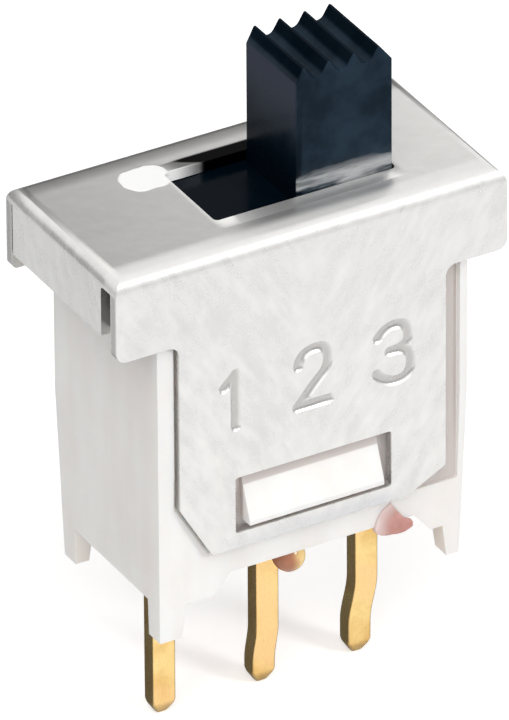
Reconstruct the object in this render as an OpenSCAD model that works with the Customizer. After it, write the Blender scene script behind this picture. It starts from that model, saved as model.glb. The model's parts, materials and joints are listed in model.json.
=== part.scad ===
// Subminiature slide switch with three terminals in line, for a printed circuit board.
//
// A folded sheet cover snaps over a moulded case. A slider runs under the cover and carries a
// sprung plunger over a rocking contact, which joins the centre terminal to one outer terminal.
//
// Origin: middle of the board seat, under the centre terminal. +X: along the travel, towards the
// end at which the actuator stands. -Y: the front. +Z: up, out of the board. Millimetres.

/* [Cover] */
// Height of the cover's top face above the board
cover_top = 9.7; // [9.4:0.1:10.4]
// Length of the cover over its end flaps
cover_length = 9.8; // [9.6:0.1:11]
// Width of the cover over its side flaps
cover_width = 4.9; // [4.8:0.05:5.6]
// Thickness of the sheet
sheet = 0.25; // [0.2:0.01:0.3]
// Outside radius of the folds
fold_radius = 0.35; // [0.32:0.01:0.45]
// Depth of an end flap below the top face
end_flap_drop = 1.6; // [1.4:0.05:1.7]
// Depth of a side flap below the top face, beside its tab
side_flap_drop = 2; // [1.8:0.05:2.3]
// Open slits between an end flap and the front and back side flaps
corner_slit = [0.42, 0.08]; // [0.06:0.02:0.5]
// Width of the long tab on each side flap
tab_width = 6.7; // [6.2:0.1:7]
// Depth of the tab below the top face
tab_drop = 7.6; // [7.4:0.05:7.8]
// Corner cut of the tab at its -X corner, along X and along Z
tab_cut_left = [0.8, 1.38]; // [0.3:0.1:1.4]
// Corner cut of the tab at its +X corner, along X and along Z
tab_cut_right = [0.95, 0.5]; // [0.3:0.1:1.4]
// Rounding where a side flap's lower edge meets its tab
flap_round = 0.25; // [0.1:0.05:0.4]
// Rounding of a side flap's outer corners
flap_corner = 0.45; // [0.2:0.05:0.6]
// Width of the latch window in the tab
window_width = 3.94; // [3.4:0.1:4.4]
// Height of the latch window
window_height = 1.42; // [1.2:0.05:1.6]
// Strip of the tab left below the window
window_strip = 0.38; // [0.3:0.02:0.5]

/* [Slot] */
// Length of the slot in the cover, in which the actuator travels
slot_length = 4.66; // [4.5:0.02:4.8]
// Width of the slot
slot_width = 2.32; // [2.26:0.02:2.5]
// Middle of the slot, from the centre terminal
slot_offset = 0.63; // [0.5:0.01:0.7]
// Rounding of the slot's corners
slot_round = 0.18; // [0.1:0.02:0.3]

/* [Case] */
// How far the case reaches from the centre terminal below the cover, to the left and right
case_reach = [3.825, 3.97]; // [3.7:0.005:4.1]
// How far the corner pillars stand back from the tab's face
pillar_setback = 0.13; // [0.08:0.01:0.18]
// Length of the thin corner pillars, front right and back left
thin_pillar = 0.19; // [0.15:0.01:0.25]
// Height at which the lower walls start to lean inwards
lean_height = 4.3; // [3.5:0.1:5]
// How far the end walls and the side walls lean in, down to the board
lean = [0.1, 0.17]; // [0.05:0.01:0.2]
// Gap round the edges of the cover's tab
tab_gap = 0.07; // [0.04:0.01:0.12]
// Gap between the cover's inner faces and the case
cover_gap = 0.02; // [0.01:0.01:0.04]
// Thickness of the flange under the cover's top
flange_hidden = 0.1; // [0.05:0.01:0.2]
// Width of the latch wedge on each side wall
latch_width = 3.4; // [3:0.02:3.7]
// How far the latch wedge stands out past the tab
latch_reach = 0.16; // [0.12:0.01:0.35]
// Height of the latch wedge's lower edge above the window's lower edge
latch_lift = 0.2; // [0.02:0.02:0.3]
// Blunt lower edge of the latch wedge
latch_blunt = 0.12; // [0.05:0.01:0.2]
// Thickness of the floor inside
floor_thickness = 1.1; // [0.9:0.05:1.4]
// Clearance beside the housing and the contact in the cavity
cavity_gap = 0.19; // [0.1:0.01:0.3]

/* [Case underside] */
// Height of the side walls' lower edge above the board, in the middle
side_edge = 1.35; // [1.2:0.05:1.5]
// Height of the end walls' lower edge above the board
end_edge = 0.92; // [0.86:0.02:1.2]
// Height of the shoulders beside the feet
shoulder_edge = 0.83; // [0.7:0.01:0.9]
// Length of a shoulder from its foot to its slope, at the left and right end
shoulder_length = [0.64, 0.3]; // [0.2:0.02:0.8]
// Length of the slope from a shoulder to the middle edge
shoulder_slope = 0.44; // [0.3:0.02:0.6]
// Length of a foot along X at its top, at the left and right end
foot_top = [0.67, 0.44]; // [0.4:0.01:0.75]
// Length of a foot along X on the board, at the left and right end
foot_base = [0.55, 0.32]; // [0.3:0.01:0.6]
// Depth of a foot along Y
foot_depth = 0.5; // [0.4:0.01:0.6]
// Thickness of the walls round the sealed well
well_wall = 0.59; // [0.5:0.01:0.7]
// Height of the well's ceiling above the board
well_top = 2.1; // [2:0.05:2.3]

/* [Terminals] */
// Spacing of the terminals
pitch = 2.54; // [2.5:0.01:2.6]
// Width and depth of a leg
leg = [0.58, 0.46]; // [0.4:0.01:0.6]
// Length of a leg below the board seat
leg_reach = 3.3; // [3.2:0.05:3.8]
// Bevel at a leg's tip, off its width and off its depth
tip_bevel = [0.17, 0.14]; // [0.1:0.01:0.2]
// Height of the bevel at a leg's tip
tip_bevel_height = 0.28; // [0.2:0.02:0.4]
// How far each leg's root stands to the right of its place in the row: left, centre, right
root_shift = [0, 0.1, 0.1]; // [0:0.01:0.12]
// The same at each leg's tip
tip_shift = [0, 0, -0.08]; // [-0.1:0.01:0.1]
// Depth below the board seat at which each leg starts to bend
bend_start = [1.4, 1.85, 1.36]; // [1.2:0.01:1.88]
// Height of each leg's bend
bend_height = [0.9, 0.9, 1.14]; // [0.7:0.01:1.14]
// Size of the contact pad on an outer terminal
pad = [0.9, 1.2, 0.22]; // [0.2:0.02:1.6]
// Gap between the pad and the end of the cavity
pad_gap = 0.02; // [0.01:0.01:0.04]

/* [Contact] */
// Height of the rocking contact's axis above the board
pivot_height = 4.9; // [4.6:0.05:5.1]
// Radius of the ridge that the contact rocks on
ridge_radius = 0.28; // [0.24:0.01:0.29]
// Width of the neck below the ridge
neck = 0.4; // [0.3:0.02:0.44]
// Running clearance between the ridge and the contact's saddle
saddle_gap = 0.02; // [0.01:0.005:0.04]
// Thickness of the contact strip
strip = 0.2; // [0.15:0.01:0.24]
// Width of the contact strip
strip_width = 2; // [1.6:0.05:2.1]
// Length of a wing of the contact from its axis
wing_length = 2.76; // [2.7:0.01:2.8]
// Angle of a wing above level, which is also the contact's tilt each way
wing_angle = 8; // [6:0.5:9]
// Gap left between a wing and a pad that it has come down on
contact_gap = 0.015; // [0.01:0.005:0.03]

/* [Slider] */
// Whole travel of the actuator
travel = 1.9; // [1.8:0.02:1.92]
// Size of the actuator above the slider, along X and along Y
knob = [2.37, 2.2]; // [2.1:0.01:2.4]
// Middle of the actuator, from the middle of the slider
knob_offset = 0.645; // [0.6:0.005:0.66]
// Height of the actuator's shoulders above the cover
knob_rise = 2.74; // [2.2:0.02:3.2]
// Height of the ridges above the shoulders
ridge_rise = 0.38; // [0.25:0.01:0.45]
// Depth of the grooves between the ridges
groove_depth = 0.3; // [0.2:0.01:0.36]
// Number of ridges across the actuator
ridges = 4; // [3:1:5]
// Rounding of a ridge's crest
crest_radius = 0.07; // [0.04:0.01:0.1]
// Thickness of the slider's plate
plate_thickness = 0.75; // [0.6:0.05:0.85]
// Width of the slider's plate
plate_width = 3.9; // [3.5:0.05:3.95]
// Sliding clearance above, below and beside the plate
slide_gap = 0.02; // [0.01:0.005:0.04]
// Size of the hanging plunger housing, along X and along Y
housing = [1.5, 2]; // [1.4:0.02:2.05]
// Height of the housing's lower end above the contact's axis
housing_clear = 1.15; // [1:0.05:1.4]

/* [Plunger] */
// Radius of the plunger
plunger_radius = 0.45; // [0.36:0.01:0.5]
// Running clearance of the plunger in its bore
plunger_gap = 0.03; // [0.02:0.005:0.05]
// Length of the plunger over its round tip
plunger_length = 1.8; // [1.5:0.05:2]
// Gap between the plunger's tip and the contact at rest
tip_gap = 0.05; // [0.04:0.005:0.08]
// Depth of the bore above the slider plate's lower face
bore_depth = 0.3; // [0.2:0.02:0.4]
// Diameter of the spring's wire
wire = 0.12; // [0.08:0.01:0.14]
// Turns of the spring
turns = 6; // [4:1:7]

/* [Seal] */
// Height of the sealing resin's lower face above the board
resin_edge = 1.2; // [1.1:0.02:1.3]
// Radius of the bead of resin that hangs beside the centre terminal
bead_radius = 0.38; // [0.3:0.01:0.4]
// Middle of the bead, along X and out from the well's front wall
bead_place = [-0.28, 0.25]; // [-0.4:0.01:0.4]
// How far the bead hangs below the side wall
bead_drop = 0.68; // [0.5:0.01:0.75]
// Radius of the smear of resin on the front wall
smear_radius = 0.46; // [0.3:0.02:0.5]
// Thickness of the smear
smear_thickness = 0.09; // [0.05:0.01:0.12]
// Middle of the smear, along X and up from the side wall's lower edge
smear_place = [2.2, 0.05]; // [0:0.01:2.4]
// Length of the lip that joins the smear to the resin
lip_length = 0.35; // [0.3:0.05:0.9]

/* [Hidden] */
// Facets asked for on round parts
$fn = 48;
// How far a cutting shape runs past a face, and a joined shape into its carrier
past = 0.5;
sunk = 0.1;

STEEL = [0.78, 0.78, 0.79];
NYLON = [0.95, 0.94, 0.92];
BLACK = [0.12, 0.14, 0.17];
GOLD = [0.85, 0.66, 0.3];
RESIN = [0.62, 0.2, 0.15];

// Cover
saddle_radius = ridge_radius + saddle_gap;
tab_bottom = cover_top - tab_drop;
ledge_bottom = cover_top - side_flap_drop;
end_flap_bottom = cover_top - end_flap_drop;
window_bottom = tab_bottom + window_strip;
inner_length = cover_length - 2*sheet;
inner_width = cover_width - 2*sheet;

// Case
core_width = inner_width - 2*cover_gap;
flange_length = inner_length - 2*cover_gap;
pillar_width = cover_width - 2*pillar_setback;
case_top = cover_top - fold_radius;
rail_height = cover_top - sheet - plate_thickness - 2*slide_gap;
cavity_length = 2*norm([wing_length, saddle_radius + strip]) + 4*slide_gap;
cavity_width = max(strip_width, housing[1]) + 2*cavity_gap;
cavity_floor = well_top + floor_thickness;
case_length = case_reach[0] + case_reach[1];
case_middle = (case_reach[1] - case_reach[0])/2;
foot_inner = [for (i = [0, 1]) case_reach[i] - lean[0] - foot_base[i]];
shoulder_start = foot_inner - foot_top + foot_base;
slope_foot = shoulder_start - shoulder_length;
slope_top = [for (foot = slope_foot) foot - shoulder_slope];

// Well under the floor, inside the leaning walls
well_length = case_length - 2*lean[0] - 2*well_wall;
well_width = pillar_width - 2*lean[1] - 2*well_wall;

// Contact and slider
wing_under = pivot_height + saddle_radius;
wing_over = wing_under + strip;
slider_x = travel/2;
plate_length = inner_length - travel - 2*cover_gap;
plate_under = rail_height + slide_gap;
plate_over = plate_under + plate_thickness;
plate_round = fold_radius - sheet + slide_gap;
knob_x = slider_x + knob_offset;
tip_height = wing_over + tip_gap;
plunger_top = tip_height + plunger_length;
bore_radius = plunger_radius + plunger_gap;
bore_top = plate_under + bore_depth;
coil_radius = plunger_radius - wire;
wire_sides = 8;
steps_per_turn = 20;

// Roots of the terminals, and the top of the outer terminals' pads
leg_roots = [for (i = [0 : 2]) (i - 1)*pitch + root_shift[i]];
pad_top = wing_under - contact_gap;

// ---- Helpers ----

// A box given by its middle in X and Y, its size there, and its lowest and highest Z.
module bar(middle, size, low, high) {
    translate([middle[0] - size[0]/2, middle[1] - size[1]/2, low])
        cube([size[0], size[1], high - low]);
}

// Stands an outline up so that its Y is height, and gives it a depth along Y.
module along_y(depth) {
    rotate([90, 0, 0]) linear_extrude(depth, center = true) children();
}

// The same, with the outline's X along Y and the depth along X.
module along_x(depth) {
    rotate([90, 0, 90]) linear_extrude(depth, center = true) children();
}

// A standing outline from low to high, with its two upper corners rounded.
module arch(width, low, high, radius) {
    translate([-width/2, low]) square([width, high - radius - low]);
    translate([-width/2 + radius, low]) square([width - 2*radius, high - low]);
    for (side = [-1, 1]) translate([side*(width/2 - radius), high - radius]) circle(radius);
}

// A rectangle with round corners.
module round_rectangle(size, radius) {
    square([size[0] - 2*radius, size[1]], center = true);
    square([size[0], size[1] - 2*radius], center = true);
    for (x = [-1, 1], y = [-1, 1])
        translate([x*(size[0]/2 - radius), y*(size[1]/2 - radius)]) circle(radius);
}

// A block whose four upper edges are folded round.
module folded_block(length, width, low, high, radius) {
    intersection() {
        along_y(width + past) arch(length, low, high, radius);
        along_x(length + past) arch(width, low, high, radius);
    }
}

// ---- Cover ----

// Outline of a side flap and its tab, seen from the front.
module flap_outline() {
    half = cover_length/2;
    reach = tab_width/2;
    translate([-half, ledge_bottom + flap_corner])
        square([cover_length, side_flap_drop - flap_corner]);
    translate([-half + flap_corner, ledge_bottom])
        square([cover_length - 2*flap_corner, side_flap_drop]);
    for (side = [-1, 1])
        translate([side*(half - flap_corner), ledge_bottom + flap_corner]) circle(flap_corner);
    polygon([[-reach, cover_top], [reach, cover_top],
        [reach, tab_bottom + tab_cut_right[1]], [reach - tab_cut_right[0], tab_bottom],
        [-reach + tab_cut_left[0], tab_bottom], [-reach, tab_bottom + tab_cut_left[1]]]);
    for (side = [-1, 1]) difference() {
        translate([side*(reach + flap_round/2), ledge_bottom - flap_round/2 + past/2])
            square([flap_round, flap_round + past], center = true);
        translate([side*(reach + flap_round), ledge_bottom - flap_round]) circle(flap_round);
    }
}

// What is cut away from a side wall to leave the flap, its tab and the latch window.
module flap_waste() {
    difference() {
        translate([-cover_length/2 - past, tab_bottom - past])
            square([cover_length + 2*past, tab_drop - fold_radius + past]);
        flap_outline();
    }
    translate([-window_width/2, window_bottom]) square([window_width, window_height]);
}

module frame_cover() {
    end_reach = cover_length/2 - sheet/2;
    color(STEEL) difference() {
        folded_block(cover_length, cover_width, tab_bottom, cover_top, fold_radius);
        folded_block(inner_length, inner_width, tab_bottom - past, cover_top - sheet,
            fold_radius - sheet);
        for (side = [-1, 1]) translate([0, side*(cover_width/2 - sheet/2), 0])
            along_y(sheet + 0.02) flap_waste();
        for (end = [-1, 1]) {
            bar([end*end_reach, 0], [sheet + 0.02, inner_width], tab_bottom - past,
                end_flap_bottom);
            for (side = [0, 1])
                bar([end*end_reach, (2*side - 1)*(inner_width - corner_slit[side])/2],
                    [sheet + 0.02, corner_slit[side]], tab_bottom - past,
                    cover_top - fold_radius);
        }
        translate([slot_offset, 0, cover_top - sheet - past])
            linear_extrude(sheet + 2*past) round_rectangle([slot_length, slot_width], slot_round);
    }
}

// ---- Case ----

// A wall outline that is upright above lean_height and leans in below it.
module leaning_outline(width, lean_in) {
    polygon([[-width/2, case_top], [-width/2, lean_height], [-width/2 + lean_in, 0],
        [width/2 - lean_in, 0], [width/2, lean_height], [width/2, case_top]]);
}

// The case's block with its leaning walls, before anything is cut out of it.
module case_block() {
    intersection() {
        translate([case_middle, 0, 0])
            along_y(pillar_width + past) leaning_outline(case_length, lean[0]);
        along_x(2*cover_length) leaning_outline(pillar_width, lean[1]);
    }
    bar([0, 0], [flange_length, core_width], end_flap_bottom + flange_hidden, case_top);
}

// The space below the side walls, between the feet.
module underside_outline() {
    polygon([[-foot_inner[0], -past], [-foot_inner[0], 0], [-shoulder_start[0], shoulder_edge],
        [-slope_foot[0], shoulder_edge], [-slope_top[0], side_edge],
        [slope_top[1], side_edge], [slope_foot[1], shoulder_edge],
        [shoulder_start[1], shoulder_edge], [foot_inner[1], 0], [foot_inner[1], -past]]);
}

// A wedge that the window in the tab snaps over, on the front wall for side -1.
module latch(side) {
    face = side*core_width/2;
    crest = side*(cover_width/2 + latch_reach);
    low = window_bottom + latch_lift;
    high = window_bottom + window_height - cover_gap;
    root = side*(core_width/2 - sunk);
    along_x(latch_width)
        polygon([[root, low], [crest, low], [crest, low + latch_blunt], [face, high], [root, high]]);
}

// Room for the tab on one side: close round its corner at one end, open to the thin pillar.
module tab_room(side) {
    near = side*(tab_width/2 + tab_gap);
    far = -side*(case_reach[side < 0 ? 1 : 0] - thin_pillar);
    cut = side < 0 ? tab_cut_left : tab_cut_right;
    polygon([[near, cover_top], [near, tab_bottom + cut[1]],
        [side*(tab_width/2 - cut[0]), tab_bottom - tab_gap], [far, tab_bottom - tab_gap],
        [far, cover_top]]);
}

module case() {
    recess = (cover_width - core_width)/2 + past;
    color(NYLON) {
        difference() {
            case_block();
            // Room for the cover's side flaps, and for the tab between its corner pillars
            for (side = [-1, 1]) translate([0, side*(core_width + recess)/2, 0]) {
                bar([0, 0], [cover_length, recess], ledge_bottom - cover_gap,
                    cover_top + past);
                along_y(recess) tab_room(side);
            }
            // Channel for the slider's plate, and the cavity below it
            bar([0, 0], [cover_length + past, plate_width + 2*slide_gap], rail_height,
                cover_top);
            bar([0, 0], [cavity_length, cavity_width], cavity_floor, cover_top);
            // Underside: the sealed well, the side walls' edge and the end walls' edge
            bar([case_middle, 0], [well_length, well_width], -past, well_top);
            along_y(cover_width + past) underside_outline();
            bar([0, 0], [cover_length, pillar_width - 2*lean[1] - 2*foot_depth], -past,
                end_edge);
            for (x = leg_roots) bar([x, 0], leg, 0, pad_top);
        }
        for (side = [-1, 1]) latch(side);
    }
}

// ---- Terminals ----

// The leg of terminal i, counted from the left, up to a height.
module terminal_leg(i, top) {
    half = leg/2;
    root = leg_roots[i];
    end = (i - 1)*pitch + tip_shift[i];
    bend_low = -bend_start[i] - bend_height[i];
    taper = -leg_reach + tip_bevel_height;
    intersection() {
        along_y(2*leg[1]) polygon([[root - half[0], top], [root - half[0], -bend_start[i]],
            [end - half[0], bend_low], [end - half[0], taper],
            [end - half[0] + tip_bevel[0], -leg_reach], [end + half[0] - tip_bevel[0], -leg_reach],
            [end + half[0], taper], [end + half[0], bend_low],
            [root + half[0], -bend_start[i]], [root + half[0], top]]);
        along_x(4*cover_length) polygon([[-half[1], top], [-half[1], taper],
            [-half[1] + tip_bevel[1], -leg_reach], [half[1] - tip_bevel[1], -leg_reach],
            [half[1], taper], [half[1], top]]);
    }
}

// Terminal i at the end of the row on one side, with the pad that a wing comes down on.
module outer_terminal(i, side) {
    color(GOLD) {
        terminal_leg(i, pad_top - pad[2]/2);
        bar([side*(cavity_length/2 - pad_gap - pad[0]/2), 0], [pad[0], pad[1]], pad_top - pad[2],
            pad_top);
    }
}

module terminal_left() {
    outer_terminal(0, -1);
}

// The centre terminal, with the ridge that the contact rocks on.
module terminal_centre() {
    shoulder = pivot_height - 2*ridge_radius;
    color(GOLD) {
        terminal_leg(1, shoulder);
        bar([0, 0], [neck, leg[1]], shoulder - sunk, pivot_height);
        translate([0, 0, pivot_height]) rotate([90, 0, 0])
            cylinder(h = strip_width, r = ridge_radius, center = true);
    }
}

module terminal_right() {
    outer_terminal(2, 1);
}

// ---- Contact ----

// A strip bent into two wings over a saddle, tilted as the plunger holds it at rest.
module rocker_contact() {
    color(GOLD) translate([0, 0, pivot_height]) rotate([0, wing_angle, 0]) difference() {
        union() {
            for (side = [-1, 1]) rotate([0, -side*wing_angle, 0])
                bar([side*wing_length/2, 0], [wing_length, strip_width], saddle_radius,
                    saddle_radius + strip);
            rotate([90, 0, 0])
                cylinder(h = strip_width, r = saddle_radius + strip, center = true);
        }
        rotate([90, 0, 0]) cylinder(h = strip_width + past, r = saddle_radius, center = true);
        bar([0, 0], [4*(saddle_radius + strip), strip_width + past], -saddle_radius - strip, 0);
    }
}

// ---- Slider ----

// Where the line from a foot touches a circle, on the side away from the circle's middle line.
function touch(foot, middle, radius) =
    let (d = foot - middle, turn = atan2(d[1], d[0]) - acos(radius/norm(d)))
    middle + radius*[cos(turn), sin(turn)];

// Outline of the actuator's gripping end, seen from the front.
module grip_outline() {
    step = knob[0]/ridges;
    root = knob_rise + ridge_rise - groove_depth;
    crest = [0, knob_rise + ridge_rise - crest_radius];
    for (i = [0 : ridges - 1]) translate([(i + 0.5)*step - knob[0]/2, 0]) {
        low_left = [-step/2, i == 0 ? knob_rise : root];
        low_right = [-step/2, i == ridges - 1 ? knob_rise : root];
        flank_left = touch(low_left, crest, crest_radius);
        flank_right = touch(low_right, crest, crest_radius);
        translate(crest) circle(crest_radius);
        polygon([[-step/2, 0], low_left, flank_left, crest, [-flank_right[0], flank_right[1]],
            [step/2, low_right[1]], [step/2, 0]]);
    }
}

module actuator() {
    color(BLACK) difference() {
        union() {
            translate([knob_x, 0, cover_top]) along_y(knob[1]) grip_outline();
            bar([knob_x, 0], knob, plate_over - sunk, cover_top + sunk);
            translate([slider_x, 0, 0]) along_y(plate_width)
                arch(plate_length, plate_under, plate_over, plate_round);
            bar([slider_x, 0], housing, pivot_height + housing_clear, plate_under + sunk);
        }
        translate([slider_x, 0, pivot_height])
            cylinder(h = bore_top - pivot_height, r = bore_radius);
    }
}

// ---- Plunger and its spring ----

module plunger() {
    color(NYLON) translate([slider_x, 0, tip_height + plunger_radius]) {
        sphere(plunger_radius);
        cylinder(h = plunger_length - plunger_radius, r = plunger_radius);
    }
}

// A ring of the coil's wire, at an angle round the coil and a height.
function wire_ring(angle, height) = [for (turn = [0 : 360/wire_sides : 359])
    let (r = coil_radius + wire/2*cos(turn))
        [slider_x + r*cos(angle), r*sin(angle), height + wire/2*sin(turn)]];

module plunger_spring() {
    steps = turns*steps_per_turn;
    last = wire_sides - 1;
    low = plunger_top + wire/2;
    rise = bore_top - plunger_top - wire;
    points = [for (i = [0 : steps]) each wire_ring(360*turns*i/steps, low + rise*i/steps)];
    sides = [for (i = [0 : steps - 1], j = [0 : last])
        let (k = (j + 1)%wire_sides, low_ring = wire_sides*i, high_ring = low_ring + wire_sides)
            [low_ring + j, low_ring + k, high_ring + k, high_ring + j]];
    ends = [[for (j = [last : -1 : 0]) j], [for (j = [0 : last]) wire_sides*steps + j]];
    color(STEEL) polyhedron(points, concat(sides, ends), convexity = 10);
}

// ---- Seal ----

// A round cap of resin on the front wall, whose middle stands out by its thickness.
module smear(wall) {
    globe = (smear_radius*smear_radius + smear_thickness*smear_thickness)/(2*smear_thickness);
    intersection() {
        translate([smear_place[0], -wall - smear_thickness + globe, side_edge + smear_place[1]])
            sphere(globe);
        bar([smear_place[0], -wall], 4*[smear_radius, smear_thickness],
            side_edge + smear_place[1] - smear_radius, side_edge + smear_place[1] + smear_radius);
    }
}

// Resin in the well round the terminals, with a smear on the front wall and a hanging bead.
module epoxy_seal() {
    well_front = well_width/2;
    wall = pillar_width/2 - lean[1]*(lean_height - side_edge)/lean_height;
    color(RESIN) difference() {
        union() {
            bar([case_middle, 0], [well_length, well_width], resin_edge, well_top);
            intersection() {
                translate([bead_place[0], -well_front - bead_place[1],
                    side_edge - bead_drop + bead_radius]) sphere(bead_radius);
                bar([bead_place[0], -well_front], 4*[bead_radius, bead_radius],
                    side_edge - bead_drop, side_edge);
            }
            bar([smear_place[0], -(well_front + wall)/2],
                [lip_length, wall - well_front], resin_edge, side_edge);
            difference() {
                smear(wall);
                case_block();
            }
        }
        for (x = leg_roots) bar([x, 0], leg, 0, well_top + past);
    }
}

frame_cover();
case();
actuator();
plunger();
plunger_spring();
rocker_contact();
terminal_left();
terminal_centre();
terminal_right();
epoxy_seal();
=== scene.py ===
import json
import math
import bmesh
import bpy
from mathutils import Matrix, Vector


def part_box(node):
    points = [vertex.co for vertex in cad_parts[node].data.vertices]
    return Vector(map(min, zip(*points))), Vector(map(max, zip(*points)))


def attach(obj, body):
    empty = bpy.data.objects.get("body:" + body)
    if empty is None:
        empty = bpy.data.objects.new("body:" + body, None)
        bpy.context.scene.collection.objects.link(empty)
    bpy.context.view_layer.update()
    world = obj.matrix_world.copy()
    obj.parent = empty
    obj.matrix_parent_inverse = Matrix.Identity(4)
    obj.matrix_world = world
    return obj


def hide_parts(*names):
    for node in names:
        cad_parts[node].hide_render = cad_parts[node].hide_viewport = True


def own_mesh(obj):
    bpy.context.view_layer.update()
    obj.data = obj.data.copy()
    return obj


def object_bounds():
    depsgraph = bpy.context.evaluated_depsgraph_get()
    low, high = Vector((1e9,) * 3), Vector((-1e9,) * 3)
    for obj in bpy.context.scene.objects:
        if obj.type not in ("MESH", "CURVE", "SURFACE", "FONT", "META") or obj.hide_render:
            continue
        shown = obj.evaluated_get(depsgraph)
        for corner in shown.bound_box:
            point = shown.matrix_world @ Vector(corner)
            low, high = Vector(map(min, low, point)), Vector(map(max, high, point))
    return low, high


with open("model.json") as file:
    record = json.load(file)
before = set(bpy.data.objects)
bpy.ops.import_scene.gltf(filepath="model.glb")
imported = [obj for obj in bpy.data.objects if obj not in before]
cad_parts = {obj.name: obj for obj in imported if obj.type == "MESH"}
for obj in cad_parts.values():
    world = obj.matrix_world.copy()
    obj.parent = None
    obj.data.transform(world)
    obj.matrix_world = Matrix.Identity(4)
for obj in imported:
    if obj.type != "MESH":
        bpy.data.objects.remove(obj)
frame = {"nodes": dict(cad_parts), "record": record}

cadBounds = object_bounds()
metresPerMm = 0.001  # pieces are modelled in millimetres and settled in metres
beyond = 1  # how far a cutter reaches past the outside of what it cuts
clear = 0.05  # how far it reaches past the inside of a wall


# Workbench: the few moves that every piece is made with

def corners(node):
    low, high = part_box(node)
    return low / metresPerMm, high / metresPerMm


def clearSelection():
    if bpy.context.mode != "OBJECT":
        bpy.ops.object.mode_set(mode="OBJECT")
    bpy.ops.object.select_all(action="DESELECT")


def takeUp(piece):
    clearSelection()
    piece.select_set(True)
    bpy.context.view_layer.objects.active = piece


def pick(piece, kind, test):  # leaves the piece in edit mode, with what passes the test selected
    takeUp(piece)
    bpy.ops.object.mode_set(mode="EDIT")
    bpy.ops.mesh.select_mode(type=kind)
    bpy.ops.mesh.select_all(action="DESELECT")
    mesh = bmesh.from_edit_mesh(piece.data)
    mesh.normal_update()
    if kind == "VERT":
        chosen = [v for v in mesh.verts if test(v.co)]
    elif kind == "EDGE":
        ends = [(e, e.verts[0].co, e.verts[1].co) for e in mesh.edges]
        chosen = [e for e, a, b in ends if test((a + b) / 2, (b - a).normalized())]
    else:
        chosen = [f for f in mesh.faces if test(f.calc_center_median(), f.normal)]
    for item in chosen:
        item.select_set(True)
    bmesh.update_edit_mesh(piece.data)


def anywhere(*place):
    return True


def near(a, b, slack=0.004):
    return abs(a - b) < slack


def isAlong(way, axis):
    return abs(getattr(way, axis)) > 0.9


def block(name, low, high):
    clearSelection()
    low, high = Vector(low), Vector(high)
    bpy.ops.mesh.primitive_cube_add(size=1, location=(low + high) / 2)
    piece = bpy.context.active_object
    piece.name = name
    piece.scale = high - low
    bpy.ops.object.transform_apply(location=True, rotation=True, scale=True)
    return piece


def rod(name, radius, start, end, sides=48):
    clearSelection()
    start, end = Vector(start), Vector(end)
    bpy.ops.mesh.primitive_cylinder_add(vertices=sides, radius=radius, depth=(end - start).length)
    piece = bpy.context.active_object
    piece.name = name
    piece.rotation_euler = (end - start).to_track_quat("Z", "Y").to_euler()
    piece.location = (start + end) / 2
    bpy.ops.object.transform_apply(location=True, rotation=True, scale=True)
    return piece


def prism(name, outline, front, back):  # an outline of (across, height), drawn out to the back
    clearSelection()
    bpy.ops.mesh.primitive_circle_add(vertices=len(outline), fill_type="NGON")
    piece = bpy.context.active_object
    piece.name = name
    for vertex, (across, height) in zip(piece.data.vertices, outline):
        vertex.co = (across, front, height)
    pick(piece, "FACE", anywhere)
    bpy.ops.mesh.extrude_region_move(TRANSFORM_OT_translate={"value": (0, back - front, 0)})
    faceOutwards(piece)
    return piece


def faceOutwards(piece):
    pick(piece, "FACE", anywhere)
    bpy.ops.mesh.normals_make_consistent(inside=False)
    bpy.ops.object.mode_set(mode="OBJECT")


def roundEdges(piece, radius, steps, test):
    pick(piece, "EDGE", test)
    bpy.ops.mesh.bevel(offset=radius, segments=steps, affect="EDGES", clamp_overlap=True)
    bpy.ops.object.mode_set(mode="OBJECT")


def useModifier(piece, kind, **settings):
    takeUp(piece)
    modifier = piece.modifiers.new(kind.lower(), kind)
    for name, value in settings.items():
        setattr(modifier, name, value)
    bpy.ops.object.modifier_apply(modifier=modifier.name)


def combine(piece, tool, operation="DIFFERENCE"):
    useModifier(piece, "BOOLEAN", operation=operation, solver="EXACT", object=tool)
    bpy.data.objects.remove(tool)


def softenEdges(piece, radius, steps, angle):
    useModifier(piece, "BEVEL", width=radius, segments=steps, limit_method="ANGLE",
                angle_limit=math.radians(angle), use_clamp_overlap=True)


def smoothSkin(piece, voxel, factor, rounds):
    useModifier(piece, "REMESH", mode="VOXEL", voxel_size=voxel)
    useModifier(piece, "SMOOTH", factor=factor, iterations=rounds)


def mergePoints(piece, distance=0.0005):
    pick(piece, "VERT", anywhere)
    bpy.ops.mesh.remove_doubles(threshold=distance)
    bpy.ops.object.mode_set(mode="OBJECT")


def meshOfCurve(name, curve):
    piece = bpy.data.objects.new(name, curve)
    bpy.context.scene.collection.objects.link(piece)
    takeUp(piece)
    bpy.ops.object.convert(target="MESH")
    return bpy.context.active_object


def copyOfNode(node, name, flatAngle=0.6):
    piece = bpy.data.objects.new(name, frame["nodes"][node].data.copy())
    bpy.context.scene.collection.objects.link(piece)
    piece.data.transform(Matrix.Scale(1 / metresPerMm, 4))
    takeUp(piece)
    bpy.ops.mesh.customdata_custom_splitnormals_clear()
    mergePoints(piece)
    pick(piece, "FACE", anywhere)
    bpy.ops.mesh.dissolve_limited(angle_limit=math.radians(flatAngle))
    bpy.ops.object.mode_set(mode="OBJECT")
    return piece


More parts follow.
